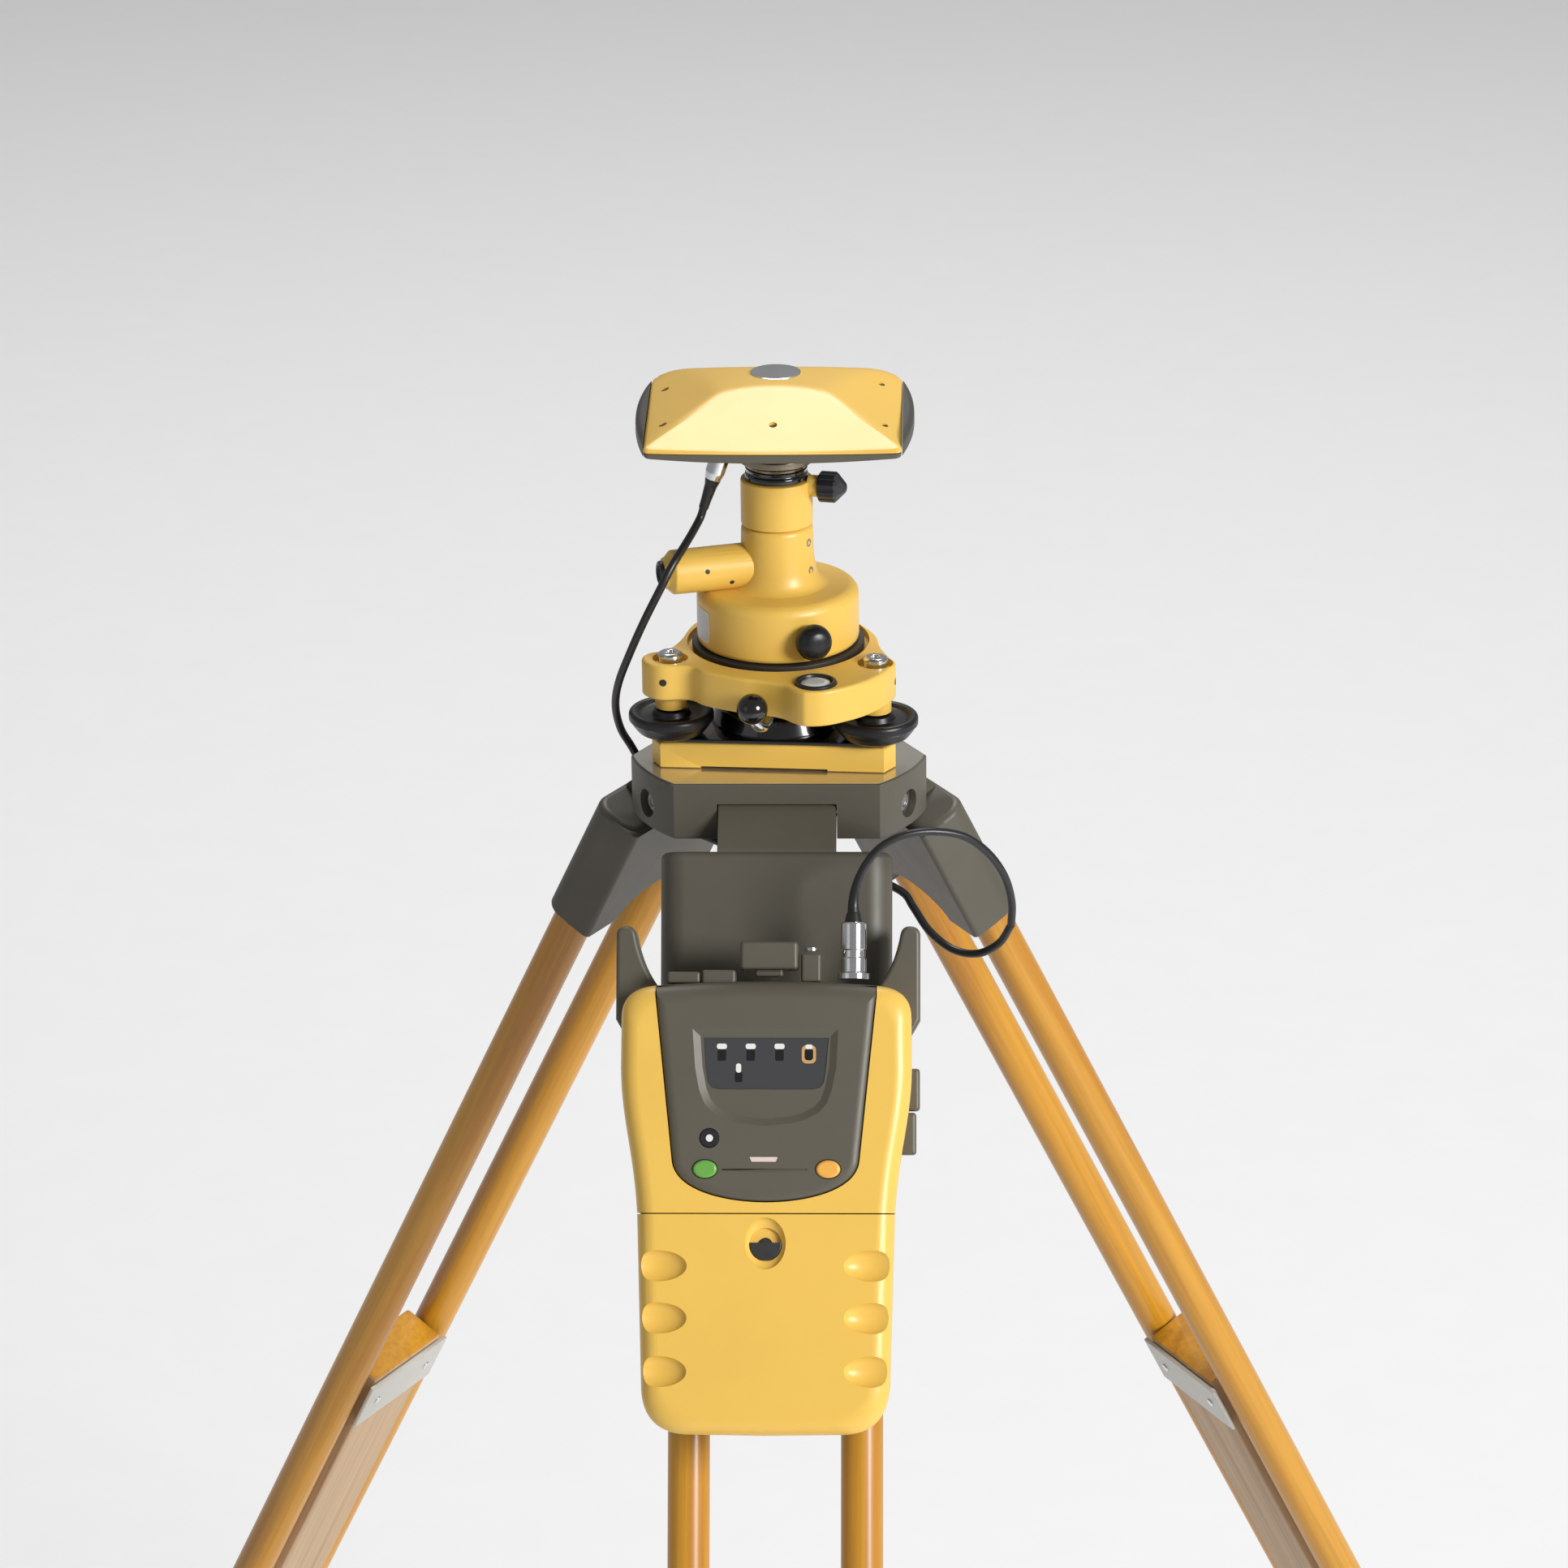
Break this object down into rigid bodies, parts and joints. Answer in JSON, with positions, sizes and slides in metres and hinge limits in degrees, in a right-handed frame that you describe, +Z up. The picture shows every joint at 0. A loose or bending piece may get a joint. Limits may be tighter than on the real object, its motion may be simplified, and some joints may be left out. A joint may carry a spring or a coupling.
{
  "type": "surveying base station on a tripod",
  "caption": "Satellite surveying base station: square antenna on an optical plummet adapter and tribrach, on a wooden tripod with the receiver hung on its front leg.",
  "frame": {"origin": "on the ground, at the centre of the tripod's bounding box", "axes": "+Z up; the leg that carries the receiver points to -Y; the plumb axis is the vertical line x = 0, y = 0.1738 m"},
  "size_m": [1.2476, 1.0846, 1.4836],
  "materials": {
    "olive_paint": "satin grey-olive paint on castings",
    "varnished_wood": "orange-brown wood, glossy varnish",
    "board_wood": "pale wood, varnished on its face",
    "steel": "bright metal",
    "forged_steel": "dull forged steel",
    "black_knobs": "black, satin",
    "yellow_paint": "satin yellow paint",
    "black_metal": "gloss black",
    "level_glass": "clear",
    "yellow_plastic": "satin yellow",
    "grey_plastic": "satin grey-olive",
    "black_rubber": "black, satin",
    "green_key": "satin green",
    "orange_key": "satin orange",
    "circuit": "green circuit board",
    "battery_case": "dark grey"
  },
  "bodies": {
    "head": {"tripod_head": "olive_paint", "hinge_pin_front": "steel", "hinge_pin_right": "steel", "hinge_pin_left": "steel", "tribrach_base_plate": "yellow_paint", "spring_plate": "black_metal", "tribrach_body": "yellow_paint", "level_cup": "black_knobs", "level_vial": "level_glass", "cable_upper": "black_rubber"},
    "centre_screw": {"centre_screw": "black_knobs"},
    "leg_front": {"knuckle_front": "olive_paint", "dowel_front_a": "varnished_wood", "dowel_front_b": "varnished_wood", "lower_clamp_front": "olive_paint", "leg_bracket": "steel", "rear_shell": "grey_plastic", "front_shell": "yellow_plastic", "face_plate": "grey_plastic", "battery": "battery_case", "main_board": "circuit", "receiver_plug": "steel", "cable_lower": "black_rubber"},
    "leg_right": {"knuckle_right": "olive_paint", "dowel_right_a": "varnished_wood", "dowel_right_b": "varnished_wood", "lower_clamp_right": "olive_paint"},
    "leg_left": {"knuckle_left": "olive_paint", "dowel_left_a": "varnished_wood", "dowel_left_b": "varnished_wood", "lower_clamp_left": "olive_paint"},
    "clamp_screw_front": {"clamp_screw_front": "black_knobs"},
    "clamp_screw_right": {"clamp_screw_right": "black_knobs"},
    "clamp_screw_left": {"clamp_screw_left": "black_knobs"},
    "extension_front": {"extension_board_front": "board_wood", "foot_shoe_front": "forged_steel"},
    "extension_right": {"extension_board_right": "board_wood", "foot_shoe_right": "forged_steel"},
    "extension_left": {"extension_board_left": "board_wood", "foot_shoe_left": "forged_steel"},
    "foot_screw_right": {"foot_screw_right": "black_knobs"},
    "foot_screw_back": {"foot_screw_back": "black_knobs"},
    "foot_screw_left": {"foot_screw_left": "black_knobs"},
    "lock_lever": {"lock_lever": "black_knobs"},
    "adapter": {"adapter_ring": "black_metal", "adapter_body": "yellow_paint", "adapter_sleeve": "yellow_paint", "antenna_stub": "black_metal", "antenna_tray": "grey_plastic", "antenna_cover": "yellow_plastic", "antenna_board": "circuit", "antenna_plug": "steel"},
    "plummet_eyepiece": {"plummet_eyepiece": "black_knobs"},
    "adapter_clamp_knob": {"adapter_clamp_knob": "black_knobs"},
    "sleeve_clamp_knob": {"sleeve_clamp_knob": "black_knobs"},
    "power_button": {"power_button": "green_key"},
    "function_button": {"function_button": "orange_key"},
    "battery_cover": {"battery_cover": "yellow_plastic"},
    "battery_latch": {"battery_latch": "steel"},
    "port_cap": {"port_cap": "black_rubber"}
  },
  "joints": [
    {"name": "centre_screw_turn", "type": "hinge", "parent": "head", "child": "centre_screw", "pos_m": [0, 0.17377, 1.28264], "axis": [0, 0, 1], "continuous": true},
    {"name": "leg_front_fold", "type": "hinge", "parent": "head", "child": "leg_front", "pos_m": [0, 0.13577, 1.26364], "axis": [1, 0, 0], "range_deg": [0, 20], "deforming": ["cable_lower"]},
    {"name": "leg_right_fold", "type": "hinge", "parent": "head", "child": "leg_right", "pos_m": [0.03291, 0.19277, 1.26364], "axis": [-0.5, 0.866, 0], "range_deg": [0, 27]},
    {"name": "leg_left_fold", "type": "hinge", "parent": "head", "child": "leg_left", "pos_m": [-0.03291, 0.19277, 1.26364], "axis": [-0.5, -0.866, 0], "range_deg": [0, 27]},
    {"name": "leg_front_extend", "type": "slide", "parent": "leg_front", "child": "extension_front", "axis": [0, -0.4571, -0.8894], "range_m": [-0.32, 0.36]},
    {"name": "clamp_screw_front_turn", "type": "hinge", "parent": "leg_front", "child": "clamp_screw_front", "pos_m": [0, -0.31805, 0.46811], "axis": [0, -0.8894, 0.4571], "continuous": true},
    {"name": "leg_right_extend", "type": "slide", "parent": "leg_right", "child": "extension_right", "axis": [0.3959, 0.2285, -0.8894], "range_m": [-0.32, 0.36]},
    {"name": "clamp_screw_right_turn", "type": "hinge", "parent": "leg_right", "child": "clamp_screw_right", "pos_m": [0.42593, 0.41968, 0.46811], "axis": [0.7703, 0.4447, 0.4571], "continuous": true},
    {"name": "leg_left_extend", "type": "slide", "parent": "leg_left", "child": "extension_left", "axis": [-0.3959, 0.2285, -0.8894], "range_m": [-0.32, 0.36]},
    {"name": "clamp_screw_left_turn", "type": "hinge", "parent": "leg_left", "child": "clamp_screw_left", "pos_m": [-0.42593, 0.41968, 0.46811], "axis": [-0.7703, 0.4447, 0.4571], "continuous": true},
    {"name": "foot_screw_right_turn", "type": "hinge", "parent": "head", "child": "foot_screw_right", "pos_m": [0.05057, 0.13966, 1.30264], "axis": [0, 0, 1], "continuous": true},
    {"name": "foot_screw_back_turn", "type": "hinge", "parent": "head", "child": "foot_screw_back", "pos_m": [0.00426, 0.23462, 1.30264], "axis": [0, 0, 1], "continuous": true},
    {"name": "foot_screw_left_turn", "type": "hinge", "parent": "head", "child": "foot_screw_left", "pos_m": [-0.05483, 0.14703, 1.30264], "axis": [0, 0, 1], "continuous": true},
    {"name": "lock_lever_turn", "type": "hinge", "parent": "head", "child": "lock_lever", "pos_m": [0, 0.17377, 1.31764], "axis": [0, 0, 1], "range_deg": [-28, 0]},
    {"name": "adapter_turn", "type": "hinge", "parent": "head", "child": "adapter", "pos_m": [0, 0.17377, 1.33264], "axis": [0, 0, 1], "range_deg": [-45, 12], "deforming": ["cable_upper"]},
    {"name": "plummet_eyepiece_turn", "type": "hinge", "parent": "adapter", "child": "plummet_eyepiece", "pos_m": [0, 0.17377, 1.38304], "axis": [-0.9563, -0.2924, 0], "continuous": true},
    {"name": "adapter_clamp_knob_turn", "type": "hinge", "parent": "adapter", "child": "adapter_clamp_knob", "pos_m": [0, 0.17377, 1.35514], "axis": [0.3987, -0.9171, 0], "continuous": true},
    {"name": "sleeve_clamp_knob_turn", "type": "hinge", "parent": "adapter", "child": "sleeve_clamp_knob", "pos_m": [0, 0.17377, 1.42544], "axis": [0.9781, -0.2079, 0], "continuous": true},
    {"name": "power_button_press", "type": "slide", "parent": "leg_front", "child": "power_button", "axis": [0, 0.8894, -0.4571], "range_m": [0, 0.0012], "stiffness_N_per_m": 1500, "springref_m": -0.0004},
    {"name": "function_button_press", "type": "slide", "parent": "leg_front", "child": "function_button", "axis": [0, 0.8894, -0.4571], "range_m": [0, 0.0012], "stiffness_N_per_m": 1500, "springref_m": -0.0004},
    {"name": "battery_cover_lift", "type": "slide", "parent": "leg_front", "child": "battery_cover", "axis": [0, -0.8894, 0.4571], "range_m": [0, 0.04]},
    {"name": "battery_latch_turn", "type": "hinge", "parent": "battery_cover", "child": "battery_latch", "pos_m": [-0.003, -0.04794, 1.10306], "axis": [0, -0.8894, 0.4571], "range_deg": [-90, 90]},
    {"name": "port_cap_lift", "type": "hinge", "parent": "leg_front", "child": "port_cap", "pos_m": [-0.003, 0.03995, 1.21282], "axis": [-1, 0, 0], "range_deg": [0, 80]}
  ]
}
